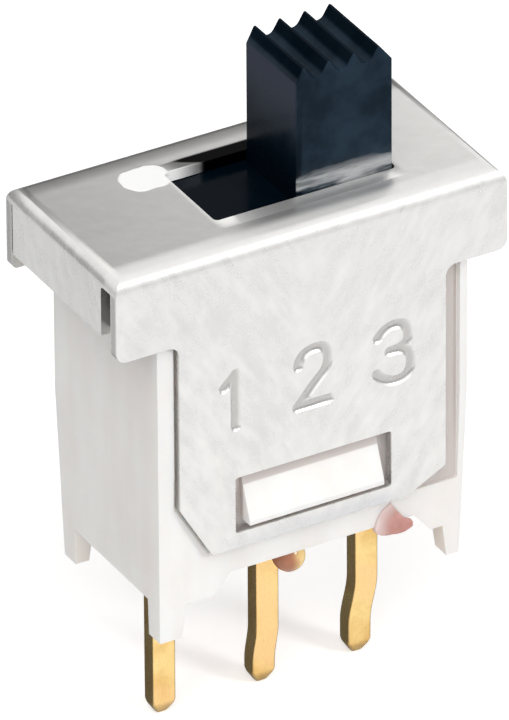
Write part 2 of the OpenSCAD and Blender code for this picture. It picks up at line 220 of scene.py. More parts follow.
def settle(piece, body, material, replaced=(), smoothAngle=32):
    mergePoints(piece)
    faceOutwards(piece)
    takeUp(piece)
    bpy.ops.object.shade_smooth_by_angle(angle=math.radians(smoothAngle))
    useModifier(piece, "WEIGHTED_NORMAL", keep_sharp=True)
    piece.scale = (metresPerMm,) * 3
    bpy.ops.object.transform_apply(location=True, rotation=True, scale=True)
    piece.data.materials.clear()
    piece.data.materials.append(material)
    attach(piece, body)
    if replaced:
        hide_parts(*replaced)
    print(piece.name, "done,", len(piece.data.polygons), "faces")


# Shader maths: a socket that adds, multiplies and compares as a number does

class Value:
    def __init__(self, recipe, socket):
        self.recipe, self.socket = recipe, socket

    def maths(self, operation, *values):
        return self.recipe.add("Math", {"operation": operation}, dict(enumerate(values)))

    def __add__(self, other):
        return self.maths("ADD", self, other)

    def __radd__(self, other):
        return self.maths("ADD", other, self)

    def __sub__(self, other):
        return self.maths("SUBTRACT", self, other)

    def __rsub__(self, other):
        return self.maths("SUBTRACT", other, self)

    def __mul__(self, other):
        return self.maths("MULTIPLY", self, other)

    def __rmul__(self, other):
        return self.maths("MULTIPLY", other, self)

    def __truediv__(self, other):
        return self.maths("DIVIDE", self, other)

    def __pow__(self, other):
        return self.maths("POWER", self, other)

    def __abs__(self):
        return self.maths("ABSOLUTE", self)

    def atLeast(self, other):
        return self.maths("MAXIMUM", self, other)

    def atMost(self, other):
        return self.maths("MINIMUM", self, other)

    def ramp(self, low, high):  # runs smoothly from 0 at low to 1 at high
        return self.recipe.add("MapRange", {"interpolation_type": "SMOOTHSTEP"},
                               {"Value": self, "From Min": low, "From Max": high})

    def between(self, low, high, fade):  # 1 from low to high, and 0 a fade beyond them
        return self.ramp(low - fade, low) * (1 - self.ramp(high, high + fade))

    def spread(self, first, second):  # the number that is first at 0 and second at 1
        return first + (second - first) * self


class Recipe:
    def __init__(self, tree):
        self.tree = tree
        tree.nodes.clear()

    def add(self, kind, settings=None, inputs=None, output=0):
        node = self.tree.nodes.new("ShaderNode" + kind)
        for name, value in (settings or {}).items():
            setattr(node, name, value)
        for name, value in (inputs or {}).items():
            if isinstance(value, Value):
                self.tree.links.new(value.socket, node.inputs[name])
            else:
                node.inputs[name].default_value = value
        return Value(self, node.outputs[output]) if node.outputs else None

    def points(self):  # Object coordinates, in millimetres
        place = self.add("TexCoord", output="Object")
        return self.add("VectorMath", {"operation": "SCALE"}, {0: place, "Scale": 1 / metresPerMm})

    def axes(self, points):
        split = self.add("SeparateXYZ", inputs={0: points})
        return [Value(self, socket) for socket in split.socket.node.outputs]

    def noise(self, points, scale, detail, roughness, stretch=(1, 1, 1), turn=(0, 0, 0)):
        turned = self.add("Mapping", inputs={"Vector": points,
                                             "Rotation": [math.radians(a) for a in turn]})
        drawn = self.add("Mapping", inputs={"Vector": turned, "Scale": stretch})
        return self.add("TexNoise", inputs={"Vector": drawn, "Scale": scale, "Detail": detail,
                                            "Roughness": roughness})

    def mix(self, factor, first, second):
        return self.add("Mix", {"data_type": "RGBA"}, {0: factor, 6: first, 7: second}, output=2)

    def bump(self, height, strength, distance, base=None):
        inputs = {"Height": height, "Strength": strength, "Distance": distance * metresPerMm}
        if base:
            inputs["Normal"] = base
        return self.add("Bump", inputs=inputs)


def newRecipe(name):
    material = bpy.data.materials.new(name)
    material.use_nodes = True
    return material, Recipe(material.node_tree)


def finishShader(recipe, inputs):
    shader = recipe.add("BsdfPrincipled", inputs=inputs)
    recipe.add("OutputMaterial", inputs={"Surface": shader})


# Finishes: a noise is given as scale, detail and roughness, a relief as strength and height

def shifted(base, offsets):
    return [base + offset for offset in offsets]


steelLook = {
    "pale": (0.82, 0.815, 0.80, 1), "deep": (0.66, 0.655, 0.645, 1), "metallic": 0.82,
    "smooth": 0.22, "rough": 0.36, "contrast": (0.22, 0.78), "cloud": (0.55, 3, 0.6),
    "cloudShare": 0.35, "topEdge": (-0.1, -0.05), "topCalm": 0.65, "topGloss": 0.5,
    "grain": (3.3, 3, 0.55), "stretch": (0.2, 1, 1), "lean": 62, "heading": 20,
    "leanTurns": (0.6, 2.4), "leanWaver": 3,
    "dents": (1.6, 2, 0.5), "dentShare": 0.9, "brushShare": 0.12, "dentRelief": (0.2, 0.025),
    "bow": 0.2, "bowMiddle": 0.5, "crown": 0.2, "crownStart": 1.7,
    "rimHeight": 0.08, "rimWidth": 0.36, "rimEnds": (-0.5, 0.1),
    "frontWear": (1.65, 2.0), "backWear": (2.3, 2.5), "endWear": (4.6, 4.75), "backShare": 0.7,
    "foldLow": (9.3, 9.4), "wornMetal": 0.2,
    "cutShade": (0.45, 0.435, 0.425, 1), "cutShadeShare": 0.8,
    "cutShadeInner": (0.01, 0.03), "cutShadeOuter": (-0.08, -0.01), "cutShadeTop": (-0.15, -0.05),
    "strip": (0.60, 0.605, 0.63, 1), "stripRise": (-0.3, 0), "stripEnds": (1.7, 2.3),
    "stripShare": 0.55, "stripSlope": 0.1,
}
# the mark's lift is a faint glow of the paint: painted light
markLook = {
    "paint": (0.99, 0.99, 0.98, 1), "middle": (-2.12, 1.2), "size": (1.14, 0.94), "round": 0.4,
    "waver": (4, 2, 0.5), "waverSize": 0.1, "edge": (-0.03, 0.03), "relief": (0.5, 0.02),
    "rough": 0.55, "lift": 0.06, "cutDepth": (-0.02, 0.03), "cutFade": 0.02,
    "cutLeft": (-0.01, 0), "cutRight": (-1.5, -0.6),
}
shadowWedgeLook = {
    "dark": (0.012, 0.012, 0.015, 1), "back": 1.53, "left": -1.35, "slope": 0.6,
    "frontEdge": (-0.04, 0.04), "backEdge": (-0.03, 0.05), "leftEdge": (-1.4, -1.1),
    "rightEdge": (0.6, 1.2),
}


def brushMarks(recipe, points, across, cloud):  # they lean the other way at the right
    look = steelLook
    left, right = (recipe.noise(points, *look["grain"], look["stretch"],
                                (0, side * look["lean"], look["heading"])) for side in (-1, 1))
    turned = (across + cloud * look["leanWaver"]).ramp(*look["leanTurns"])
    return left * (1 - turned) + right * turned


def paintedMark(recipe, points, across, deep):  # a rectangle with round corners
    (middleX, middleY), (long, wide) = markLook["middle"], markLook["size"]
    rounding = markLook["round"]
    outX = (abs(across - middleX) - (long / 2 - rounding)).atLeast(0)
    outY = (abs(deep - middleY) - (wide / 2 - rounding)).atLeast(0)
    waver = (recipe.noise(points, *markLook["waver"]) - 0.5) * markLook["waverSize"]
    outside = (outX ** 2 + outY ** 2) ** 0.5 - rounding + waver
    return 1 - outside.ramp(*markLook["edge"])


def highlightOnCut(across, deep):  # painted highlight on the rear cut edge of the slot, running on from the mark
    long, wide = cover["slotSize"]
    front, back = shifted(wide / 2, markLook["cutDepth"])
    slotLeft = cover["slotMiddle"] - long / 2
    return (deep.between(front, back, markLook["cutFade"])
            * across.ramp(*shifted(slotLeft, markLook["cutLeft"]))
            * (1 - across.ramp(*markLook["cutRight"])))


def paintedShadowWedge(across, deep):  # painted shadow of the grip on the plate behind the slot, widest at its right
    look = shadowWedgeLook
    front = look["back"] - (across - look["left"]) * look["slope"]
    return ((deep - front).ramp(*look["frontEdge"])
            * (1 - (deep - look["back"]).ramp(*look["backEdge"]))
            * across.ramp(*look["leftEdge"]) * (1 - across.ramp(*look["rightEdge"])))


def slotRim(across, deep):  # the sheet swells a little along the slot
    long, wide = cover["slotSize"]
    beside = 1 - (abs(across - cover["slotMiddle"]) - long / 2).ramp(*steelLook["rimEnds"])
    rim = 1 - (abs(deep) - wide / 2) / steelLook["rimWidth"]
    return rim.atLeast(0).atMost(1) * beside


def foldWear(across, deep, up):
    look = steelLook
    backAndEnds = deep.ramp(*look["backWear"]).atLeast(abs(across).ramp(*look["endWear"]))
    sheenAndWear = (0 - deep).ramp(*look["frontWear"]).atLeast(backAndEnds * look["backShare"])
    return sheenAndWear * up.ramp(*look["foldLow"])


def shadeInCuts(deep, up):  # painted shade just behind the side flaps' faces: on the cut edges and in the stamped numbers
    look = steelLook
    high = corners("frame_cover")[1]
    inner = high - Vector((cover["sheet"],) * 3)
    return (abs(deep).ramp(*shifted(inner.y, look["cutShadeInner"]))
            * (1 - abs(deep).ramp(*shifted(high.y, look["cutShadeOuter"])))
            * (1 - up.ramp(*shifted(inner.z, look["cutShadeTop"]))))


def shadeUnderWindow(across, up):
    look = steelLook
    sill = corners("frame_cover")[0].z + cover["windowStrip"]
    return ((1 - up.ramp(*shifted(sill, look["stripRise"])))
            * (1 - abs(across).ramp(*look["stripEnds"]))
            * (look["stripShare"] + look["stripSlope"] * across))


def brushedSteel():
    look = steelLook
    material, recipe = newRecipe("brushedSteel")
    points = recipe.points()
    across, deep, up = recipe.axes(points)
    high = corners("frame_cover")[1]
    onTop = up.ramp(*shifted(high.z, look["topEdge"]))
    cloud = recipe.noise(points, *look["cloud"])
    brush = brushMarks(recipe, points, across, cloud)
    mark = paintedMark(recipe, points, across, deep) * onTop
    paintAndHighlight = mark.atLeast(highlightOnCut(across, deep))
    paintedShadow = paintedShadowWedge(across, deep)

    mottle = (cloud * look["cloudShare"] + brush * (1 - look["cloudShare"])).ramp(*look["contrast"])
    shade = 0.5 + (mottle - 0.5) * (1 - onTop * look["topCalm"])
    colour = recipe.mix(shade, look["deep"], look["pale"])
    colour = recipe.mix(shadeUnderWindow(across, up), colour, look["strip"])
    # painted shade on the cut edges and in the stamped numbers
    colour = recipe.mix(shadeInCuts(deep, up) * look["cutShadeShare"], colour, look["cutShade"])
    # painted shadow of the grip on the plate behind the slot, dark and metallic
    colour = recipe.mix(paintedShadow, colour, shadowWedgeLook["dark"])

    dull = shade * (1 - onTop) + look["topGloss"] * onTop
    rough = dull.spread(look["smooth"], look["rough"])
    metal = foldWear(across, deep, up).spread(look["metallic"], look["wornMetal"])

    bow = ((across - look["bowMiddle"]) / high.x) ** 2 * look["bow"]
    crown = (abs(deep) - look["crownStart"]).atLeast(0) ** 2 * look["crown"]
    dents = recipe.noise(points, *look["dents"]) * look["dentShare"]
    bumped = recipe.bump(bow - crown, 1, 1)
    bumped = recipe.bump(slotRim(across, deep), 1, look["rimHeight"], bumped)
    bumped = recipe.bump(dents + brush * look["brushShare"] * (1 - onTop),
                         *look["dentRelief"], bumped)
    bumped = recipe.bump(mark, *markLook["relief"], bumped)
    finishShader(recipe, {
        "Base Color": recipe.mix(paintAndHighlight, colour, markLook["paint"]),
        "Metallic": (1 - paintAndHighlight) * metal.atLeast(paintedShadow),
        "Roughness": rough * (1 - paintAndHighlight) + paintAndHighlight * markLook["rough"],
        # the mark and the painted highlight on the cut edge glow faintly: painted light
        "Emission Color": recipe.mix(paintAndHighlight, (0, 0, 0, 1), markLook["paint"]),
        "Emission Strength": markLook["lift"], "Normal": bumped,
    })
    return material


nylonLook = {
    "pale": (0.91, 0.90, 0.88, 1), "warm": (0.87, 0.835, 0.81, 1), "contrast": (0.36, 0.64),
    "cloud": (0.4, 3, 0.55), "skin": (9, 4, 0.6), "flow": (1.6, 2, 0.5), "drawn": (1, 1, 0.12),
    "cloudShare": 0.55, "skinShare": 0.3, "smooth": 0.42, "rough": 0.56, "relief": (0.25, 0.03),
    "recess": (0.62, 0.565, 0.54, 1), "recessDepth": (2.16, 2.29, 0.02),
    "recessHeight": (2.05, 7.7, 0.05), "recessEnd": (3.75, 3.77), "recessCorner": (5, 5.3),
    "underCoverShade": (0.018, 0.018, 0.019, 1), "flangeEnd": (3.7, 3.75), "flangeLow": (8.05, 8.1),
    "glow": 0.35, "glowColour": (1.0, 0.72, 0.55), "glowReach": 0.0006,
}


def whiteNylon():
    look = nylonLook
    material, recipe = newRecipe("whiteNylon")
    points = recipe.points()
    across, deep, up = recipe.axes(points)
    cloud = recipe.noise(points, *look["cloud"])
    skin = recipe.noise(points, *look["skin"])
    flow = recipe.noise(points, *look["flow"], look["drawn"])
    # painted shade in the recesses beside the tab and round the window
    recessShadeMask = (abs(deep).between(*look["recessDepth"]) * up.between(*look["recessHeight"])
                * (1 - abs(across).ramp(*look["recessEnd"]))
                * (1 - (across * deep).ramp(*look["recessCorner"])))
    # painted shade, near black, on the flange and end walls under the cover's end flaps
    flangeShadeMask = abs(across).ramp(*look["flangeEnd"]) * up.ramp(*look["flangeLow"])
    mottle = cloud * look["cloudShare"] + flow * (1 - look["cloudShare"])
    colour = recipe.mix(mottle.ramp(*look["contrast"]), look["pale"], look["warm"])
    colour = recipe.mix(flangeShadeMask, colour, look["underCoverShade"])
    finishShader(recipe, {
        "Base Color": recipe.mix(recessShadeMask, colour, look["recess"]),
        "Roughness": skin.spread(look["smooth"], look["rough"]),
        "Subsurface Weight": look["glow"], "Subsurface Radius": look["glowColour"],
        "Subsurface Scale": look["glowReach"],
        "Normal": recipe.bump(skin * look["skinShare"] + flow * (1 - look["skinShare"]),
                              *look["relief"]),
    })
    return material


blackLook = {
    "dark": (0.001, 0.004, 0.008, 1), "sheenAndWear": (0.017, 0.032, 0.050, 1), "sheenShare": (0.4, 1),
    "sheenCloud": (0.35, 0.65), "glossCloud": (0.3, 0.7), "smooth": 0.14, "rough": 0.28,
    "cloud": (0.9, 3, 0.6), "skin": (14, 3, 0.6), "cloudRelief": 0.8, "skinRelief": 0.1,
    "relief": (0.2, 0.02), "specular": 0.03,
    "frontFade": (9.9, 12.4), "rightFace": (0.44, 0.54), "aboveCover": (9.5, 9.7),
    "leftSheen": (0.028, 0.035, 0.056, 1), "leftSheenFade": (10.6, 12.3), "leftFace": (0.01, 0.03),
    "flankRise": (0.05, 0.13), "flankDepth": (-1.07, -1.04), "flankShade": 0.85,
    "reflectionColour": (0.38, 0.39, 0.40, 1), "streak": (3, 3, 0.6), "drawn": (0.3, 1, 2),
    "streakWaver": 0.5, "reflectionLow": (9.62, 9.8), "reflectionHigh": (9.98, 10.2),
    "reflectionDepth": (-1.09, -1.07), "reflectionStreak": (0.3, 0.6), "reflectionShare": (0.35, 1),
    "reflectionRough": 0.2,
}


def reflectionAtFoot(deep, up, streak):  # painted reflection of the cover's steel, in streaks along the foot of the grip's front
    look = blackLook
    height = up + (streak - 0.5) * look["streakWaver"]
    return (height.ramp(*look["reflectionLow"]) * (1 - height.ramp(*look["reflectionHigh"]))
            * (1 - deep.ramp(*look["reflectionDepth"]))
            * streak.ramp(*look["reflectionStreak"]).spread(*look["reflectionShare"]))


def blackPlastic():
    look = blackLook
    material, recipe = newRecipe("blackPlastic")
    points = recipe.points()
    across, deep, up = recipe.axes(points)
    cloud = recipe.noise(points, *look["cloud"])
    skin = recipe.noise(points, *look["skin"])
    reflection = reflectionAtFoot(deep, up, recipe.noise(points, *look["streak"], look["drawn"]))

    # painted light: the grip's front and right faces are lighter than its left, with painted shade
    # on the groove flanks
    onFront = up.ramp(*look["frontFade"]).atLeast(across.ramp(*look["rightFace"]))
    root = corners("actuator")[1].z - actuator["grooveDepth"]
    flank = up.ramp(*shifted(root, look["flankRise"])) * deep.ramp(*look["flankDepth"])
    sheenAndWear = (cloud.ramp(*look["sheenCloud"]).spread(*look["sheenShare"])
            * onFront * up.ramp(*look["aboveCover"]) * (1 - flank * look["flankShade"]))
    onLeft = 1 - across.ramp(*shifted(gripEnds()[0], look["leftFace"]))
    colour = recipe.mix(sheenAndWear, look["dark"], look["sheenAndWear"])
    # painted shading: the grip's left face is lighter towards the top
    colour = recipe.mix(onLeft * up.ramp(*look["leftSheenFade"]), colour, look["leftSheen"])
    gloss = cloud.ramp(*look["glossCloud"]).spread(look["smooth"], look["rough"])
    finishShader(recipe, {
        # painted reflection of the steel at the foot of the grip's front
        "Base Color": recipe.mix(reflection, colour, look["reflectionColour"]),
        "Roughness": gloss + look["reflectionRough"] * reflection, "Specular IOR Level": look["specular"],
        "Normal": recipe.bump(cloud * look["cloudRelief"] + skin * look["skinRelief"],
                              *look["relief"]),
    })
    return material


goldLook = {
    "bright": (0.90, 0.67, 0.29, 1), "deep": (0.74, 0.48, 0.17, 1), "cloud": (1.1, 3, 0.6),
    "contrast": (0.35, 0.7), "rosy": (0.90, 0.62, 0.29, 1), "blush": (0.7, 2, 0.5),
    "blushDrawn": (1, 1, 0.8), "blushTurn": (30, 0, 0), "blushEdge": (0.5, 0.7),
    "grain": (12, 3, 0.6), "drawn": (1, 1, 0.1), "smooth": 0.18, "rough": 0.36,
    "cloudShare": 0.7, "relief": (0.3, 0.03),
}


def goldPlate():
    look = goldLook
    material, recipe = newRecipe("goldPlate")
    points = recipe.points()
    cloud = recipe.noise(points, *look["cloud"])
    blush = recipe.noise(points, *look["blush"], look["blushDrawn"], look["blushTurn"])
    grain = recipe.noise(points, *look["grain"], look["drawn"])
    plate = recipe.mix(cloud.ramp(*look["contrast"]), look["bright"], look["deep"])
    finishShader(recipe, {
        "Base Color": recipe.mix(blush.ramp(*look["blushEdge"]), plate, look["rosy"]),
        "Metallic": 1, "Roughness": grain.spread(look["smooth"], look["rough"]),
        "Normal": recipe.bump(cloud * look["cloudShare"] + grain * (1 - look["cloudShare"]),
                              *look["relief"]),
    })
    return material


resinLook = {
    "red": (0.60, 0.31, 0.28, 1), "dark": (0.47, 0.22, 0.18, 1), "thin": (0.83, 0.69, 0.67, 1),
    "cloud": (1.8, 3, 0.6), "contrast": (0.3, 0.7), "smooth": 0.12, "rough": 0.27,
    "smearTip": (2.62, -2.25, 1.2), "smearFade": (0.5, 1.15), "smearWaver": 0.4,
    "smearLeft": (1, 1.2),
    "beadLit": (0.84, 0.62, 0.26, 1), "beadShaded": (0.42, 0.17, 0.09, 1),
    "beadMiddle": (-0.28, -1.85, 1.0), "beadEdge": (0.4, 0.7), "beadTurns": (-0.25, 0.1),
    "beadWaver": 0.4, "relief": (0.3, 0.05),
    "glow": 0.3, "glowColour": (1.0, 0.4, 0.25), "glowReach": 0.0004,
}


def redResin():
    look = resinLook
    material, recipe = newRecipe("redResin")
    points = recipe.points()
    across = recipe.axes(points)[0]
    cloud = recipe.noise(points, *look["cloud"])

    def away(place):
        return recipe.add("VectorMath", {"operation": "DISTANCE"}, {0: points, 1: look[place]},
                          output="Value")

    thick = recipe.mix(cloud.ramp(*look["contrast"]), look["red"], look["dark"])
    fading = (away("smearTip") + (cloud - 0.5) * look["smearWaver"]).ramp(*look["smearFade"])
    smeared = recipe.mix(fading * across.ramp(*look["smearLeft"]), thick, look["thin"])
    # painted shade and light: the bead is brown on its left side and amber on its right
    bead = recipe.mix((across + cloud * look["beadWaver"]).ramp(*look["beadTurns"]),
                      look["beadShaded"], look["beadLit"])
    onBead = 1 - away("beadMiddle").ramp(*look["beadEdge"])
    finishShader(recipe, {
        "Base Color": recipe.mix(onBead, smeared, bead),
        "Roughness": cloud.spread(look["smooth"], look["rough"]),
        "Subsurface Weight": look["glow"], "Subsurface Radius": look["glowColour"],
        "Subsurface Scale": look["glowReach"], "Normal": recipe.bump(cloud, *look["relief"]),
    })
    return material


wireLook = {
    "pale": (0.62, 0.62, 0.63, 1), "deep": (0.45, 0.45, 0.47, 1), "grain": (9, 3, 0.6),
    "contrast": (0.3, 0.7), "smooth": 0.22, "rough": 0.42, "relief": (0.2, 0.01),
}


def springWire():
    look = wireLook
    material, recipe = newRecipe("springWire")
    grain = recipe.noise(recipe.points(), *look["grain"])
    finishShader(recipe, {
        "Base Color": recipe.mix(grain.ramp(*look["contrast"]), look["pale"], look["deep"]),
        "Metallic": 1, "Roughness": grain.spread(look["smooth"], look["rough"]),
        "Normal": recipe.bump(grain, *look["relief"]),
    })
    return material


# Cover: one sheet, folded down on four sides

cover = {  # a rounding is given as radius and steps, an edge as radius, steps and least angle
    "sheet": 0.25, "fold": (0.35, 12), "insideSteps": 4, "endFlap": 1.6, "sideFlap": 2.0,
    "tabWidth": 6.7, "leftCut": (0.8, 1.38), "rightCut": (0.95, 0.5), "flapRound": (0.25, 6),
    "flapCorner": {-1: (0.25, 8), 1: (0.14, 8)},  # front and back
    "slits": {-1: 0.42, 1: 0.04}, "slitRound": (0.1, 3),
    "slotSize": (4.55, 2.32), "slotMiddle": 0.575, "slotRound": (0.12, 6),
    "windowSize": (3.94, 1.42), "windowRound": (0.07, 3), "windowStrip": 0.38,
    "edge": (0.02, 2, 40),
}
numbers = {
    "height": 1.35, "middleHeight": 5.9, "spacing": 2.0, "stroke": 0.16, "depth": 0.08,
    "strokeSides": 3, "curveSteps": 6, "skin": (0.026, 0.5, 4),
    # Strokes on a unit box: across -0.3 to 0.3, up -0.5 to 0.5, and whether they are curved
    "strokes": {
        1: [([(-0.18, 0.28), (0.04, 0.5)], False), ([(0.04, 0.5), (0.04, -0.5)], False)],
        2: [([(-0.28, 0.26), (-0.26, 0.52), (0.26, 0.56), (0.3, 0.14), (0.0, -0.14), (-0.3, -0.5)],
             True),
            ([(-0.3, -0.5), (0.3, -0.5)], False)],
        3: [([(-0.28, 0.34), (-0.14, 0.54), (0.3, 0.5), (0.3, 0.04), (-0.06, 0.04)], True),
            ([(-0.06, 0.04), (0.36, 0.06), (0.34, -0.52), (-0.12, -0.56), (-0.3, -0.32)], True)],
    },
}


def slabWithRoundTop(name, low, high, radius, steps):
    slab = block(name, low, high)
    roundEdges(slab, radius, steps, lambda middle, way: near(middle.z, high.z))
    return slab


def throughWall(side, outer):  # the two ends of a cutter across the wall at that side
    return sorted((side * (outer - cover["sheet"] - clear), side * (outer + beyond)))


def cutSideFlap(shell, side):  # leaves the tab, with its cut corners and its window
    low, high = corners("frame_cover")
    half = cover["tabWidth"] / 2
    ledge = high.z - cover["sideFlap"]
    front, back = throughWall(side, high.y)
    for end in (-1, 1):
        left, right = sorted((end * half, end * (high.x + beyond)))
        waste = block("waste", (left, front, low.z - beyond), (right, back, ledge))
        roundEdges(waste, *cover["flapRound"],
                   lambda middle, way: near(middle.z, ledge) and near(middle.x, end * half))
        combine(shell, waste)
    for end, (across, rise) in ((-1, cover["leftCut"]), (1, cover["rightCut"])):
        outline = [(half - across, low.z), (half, low.z + rise), (half + beyond, low.z + rise),
                   (half + beyond, low.z - beyond), (half - across, low.z - beyond)]
        combine(shell, prism("corner", [(end * x, z) for x, z in outline], front, back))
    wide, tall = cover["windowSize"]
    sill = low.z + cover["windowStrip"]
    window = block("window", (-wide / 2, front, sill), (wide / 2, back, sill + tall))
    roundEdges(window, *cover["windowRound"], lambda middle, way: isAlong(way, "y"))
    combine(shell, window)


def cutEndFlap(shell, end):  # short, with a slit at each corner
    low, high = corners("frame_cover")
    innerY = high.y - cover["sheet"]
    foldLow = high.z - cover["fold"][0]
    left, right = throughWall(end, high.x)
    below = block("below", (left, -innerY, low.z - beyond),
                  (right, innerY, high.z - cover["endFlap"]))
    combine(shell, below)
    for side, width in cover["slits"].items():
        front, back = sorted((side * (innerY - width), side * innerY))
        slit = block("slit", (left, front, low.z - beyond), (right, back, foldLow))
        if side < 0:
            roundEdges(slit, *cover["slitRound"], lambda middle, way: near(middle.y, back)
                       and isAlong(way, "x") and near(middle.z, foldLow))
        combine(shell, slit)


def makeCover(steel):
    low, high = corners("frame_cover")
    sheet, (foldRadius, foldSteps) = cover["sheet"], cover["fold"]
    shell = slabWithRoundTop("coverShell", low, high, foldRadius, foldSteps)
    hollow = slabWithRoundTop("hollow", low + Vector((sheet, sheet, -beyond)),
                              high - Vector((sheet,) * 3), foldRadius - sheet,
                              cover["insideSteps"])
    combine(shell, hollow)
    for side in (-1, 1):
        cutSideFlap(shell, side)
    for end in (-1, 1):
        cutEndFlap(shell, end)

    long, wide = cover["slotSize"]
    left = cover["slotMiddle"] - long / 2
    slot = block("slot", (left, -wide / 2, high.z - beyond),
                 (left + long, wide / 2, high.z + beyond))
    roundEdges(slot, *cover["slotRound"], lambda middle, way: isAlong(way, "z"))
    combine(shell, slot)
    ledge = high.z - cover["sideFlap"]
    for side, rounding in cover["flapCorner"].items():
        roundEdges(shell, *rounding,
                   lambda middle, way: near(abs(middle.x), high.x) and near(middle.z, ledge)
                   and isAlong(way, "y") and middle.y * side > 0)
    softenEdges(shell, *cover["edge"])
    stampNumbers(shell, low.y)
    settle(shell, "base", steel, ["frame_cover"])


def strokePath(points, smooth):
    curve = bpy.data.curves.new("stroke", "CURVE")
    curve.dimensions = "3D"
    curve.bevel_depth = numbers["stroke"]
    curve.bevel_resolution = numbers["strokeSides"]
    curve.use_fill_caps = True
    curve.resolution_u = numbers["curveSteps"]
    spline = curve.splines.new("NURBS" if smooth else "POLY")
    spline.points.add(len(points) - 1)
    for point, place in zip(spline.points, points):
        point.co = (*place, 1)
    if smooth:
        spline.use_endpoint_u = True
        spline.order_u = 3
    return meshOfCurve("stroke", curve)


def numberPunch(strokes, middle, face):
    size, pieces = numbers["height"], []
    for points, smooth in strokes:
        places = [(middle + x * size, face, numbers["middleHeight"] + z * size)
                  for x, z in points]
        pieces.append(strokePath(places, smooth))
        for end in (places[0], places[-1]):
            clearSelection()
            bpy.ops.mesh.primitive_ico_sphere_add(subdivisions=2, radius=numbers["stroke"],
                                                  location=end)
            pieces.append(bpy.context.active_object)
    takeUp(pieces[0])
    for piece in pieces:
        piece.select_set(True)
    bpy.ops.object.join()
    punch = bpy.context.active_object
    smoothSkin(punch, *numbers["skin"])
    return punch


def stampNumbers(shell, frontFace):
    face = frontFace - numbers["stroke"] + numbers["depth"]
    for number, strokes in numbers["strokes"].items():
        combine(shell, numberPunch(strokes, (number - 2) * numbers["spacing"], face))


# Case: one white moulding

case = {
    "narrowFoot": [(-3.38, -0.1), (-3.38, 0), (-3.26, 0.83), (-2.9, 0.83), (-2.9, -0.1)],
    "footDepth": (1.4, 2.7), "edge": (0.05, 2, 20),
}


def makeCase(nylon):
    body = copyOfNode("case", "caseBody")
    combine(body, prism("trimming", case["narrowFoot"], *case["footDepth"]))
    softenEdges(body, *case["edge"])
    settle(body, "base", nylon, ["case"])


# Actuator: ridged grip, slider plate and the housing of the plunger

actuator = {
    "gripSize": (2.42, 2.2), "gripOffset": 0.62, "ridges": 4, "pitch": 0.627, "ridgeRise": 0.38,
    "crestShift": -0.05, "grooveDepth": 0.32, "crest": 0.04, "valley": 0.17, "flank": 58,
    "valleySteps": 3, "edge": (0.04, 3, 50), "slideGap": 0.02, "sunk": 0.1,
    "plateThick": 0.75, "plateRound": (0.12, 3), "housing": (1.5, 2.0), "housingRound": (0.15, 3),
    "bore": 0.48, "boreDepth": 0.3,
}


def gripEnds():
    low, high = corners("actuator")
    middle = (low.x + high.x) / 2 + actuator["gripOffset"]
    half = actuator["gripSize"][0] / 2
    return middle - half, middle + half


def arcPoint(middle, height, radius, angle):
    turn = math.radians(angle)
    return middle + radius * math.cos(turn), height + radius * math.sin(turn)


def gripOutline(left, right, low, high):  # from the lower right, up and over the ridges
    shoulder = high - actuator["ridgeRise"]
    root = high - actuator["grooveDepth"]
    middle = (left + right) / 2 + actuator["crestShift"]
    count, pitch, flank = actuator["ridges"], actuator["pitch"], actuator["flank"]
    crest, valley, steps = actuator["crest"], actuator["valley"], actuator["valleySteps"]
    points = [(right, low), (right, shoulder)]
    for i in reversed(range(count)):
        place = middle + (i - (count - 1) / 2) * pitch
        for lean in (-1, -0.5, 0, 0.5, 1):
            points.append(arcPoint(place, high - crest, crest, 90 + flank * lean))
        if i > 0:
            for step in range(-steps, steps + 1):
                points.append(arcPoint(place - pitch / 2, root + valley, valley,
                                       -90 - flank * step / steps))
    return points + [(left, shoulder), (left, low)]


def makeActuator(black):
    low, high = corners("actuator")
    coverUnder = corners("frame_cover")[1].z - cover["sheet"]
    plateOver = coverUnder - actuator["slideGap"]
    plateUnder = plateOver - actuator["plateThick"]
    wide = actuator["gripSize"][1]
    body = prism("actuatorBody",
                 gripOutline(*gripEnds(), plateOver - actuator["sunk"], high.z),
                 -wide / 2, wide / 2)
    softenEdges(body, *actuator["edge"])
    plate = slabWithRoundTop("plate", Vector((low.x, low.y, plateUnder)),
                             Vector((high.x, high.y, plateOver)), *actuator["plateRound"])
    combine(body, plate, "UNION")
    sliderX = (low.x + high.x) / 2
    deep, broad = actuator["housing"]
    housing = block("housing", (sliderX - deep / 2, -broad / 2, low.z),
                    (sliderX + deep / 2, broad / 2, plateUnder + actuator["sunk"]))
    roundEdges(housing, *actuator["housingRound"], lambda middle, way: isAlong(way, "z"))
    combine(body, housing, "UNION")
    bore = rod("bore", actuator["bore"], (sliderX, 0, low.z - beyond),
               (sliderX, 0, plateUnder + actuator["boreDepth"]))
    combine(body, bore)
    settle(body, "slider", black, ["actuator"])


# Terminals: legs stamped from sheet, bent a little to meet the row

terminals = {  # the values in threes are for the left, the centre and the right one
    "leg": (0.58, 0.46), "rootShift": (0, 0.1, 0.1), "tipShift": (0, 0, -0.08),
    "bendStart": (1.4, 1.85, 1.36), "bendHeight": (0.9, 0.9, 1.14), "bendSteps": 8,
    "pitch": 2.54, "tipBevel": (0.17, 0.14), "tipHeight": 0.28, "edge": (0.07, 3, 25),
    "pad": (0.9, 1.2, 0.22), "padRound": (0.05, 2), "ridge": 0.28, "ridgeLength": 2.0,
    "neck": 0.4, "sunk": 0.1,
}


def rootPlace(i):
    return (i - 1) * terminals["pitch"] + terminals["rootShift"][i]


def tipPlace(i):
    return (i - 1) * terminals["pitch"] + terminals["tipShift"][i]


def cutAcross(piece, height):
    pick(piece, "FACE", anywhere)
    bpy.ops.mesh.bisect(plane_co=(0, 0, height), plane_no=(0, 0, 1), threshold=0.0001)
    bpy.ops.object.mode_set(mode="OBJECT")


